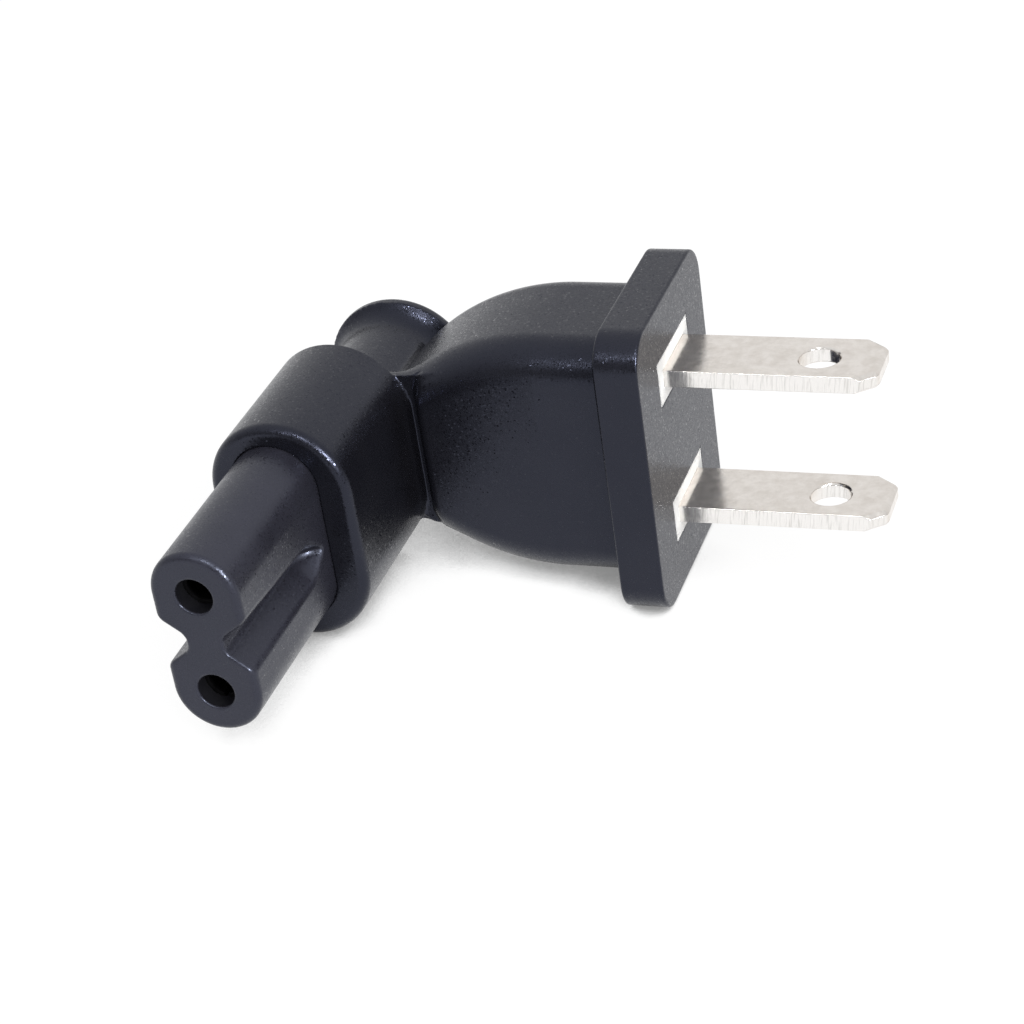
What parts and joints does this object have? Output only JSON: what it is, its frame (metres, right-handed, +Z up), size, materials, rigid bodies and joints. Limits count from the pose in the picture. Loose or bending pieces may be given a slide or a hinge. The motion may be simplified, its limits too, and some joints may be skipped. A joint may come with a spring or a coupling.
{
  "type": "right-angle figure-eight plug adapter",
  "caption": "Right-angle mains adapter: flat-blade plug on a domed moulding, turning through an oval collar into a figure-eight socket nose with side notches.",
  "frame": {"origin": "middle of the plug face, between the two blades", "axes": "+Z up as the adapter lies on a table; the socket nose points along -Y; the blades point along +X and rise by 6.40 degrees, because the flange's rear edge and the collar touch the table"},
  "size_m": [0.052, 0.0445, 0.0256],
  "materials": {
    "overmould": "fine moulded grain",
    "nose": "satin, smoother than the overmould",
    "blade": "bright nickel plating",
    "carrier": "white, smooth",
    "contact": "plain rolled strip",
    "conductor": "bare copper",
    "sleeve": "plain insulation"
  },
  "bodies": {
    "root": {"overmould_body": "overmould", "connector_nose": "nose", "blade_upper": "blade", "blade_lower": "blade", "blade_carrier": "carrier", "socket_contact_upper": "contact", "socket_contact_lower": "contact", "lead_conductor_upper": "conductor", "lead_conductor_lower": "conductor", "lead_sleeve_upper": "sleeve", "lead_sleeve_lower": "sleeve"}
  },
  "joints": []
}
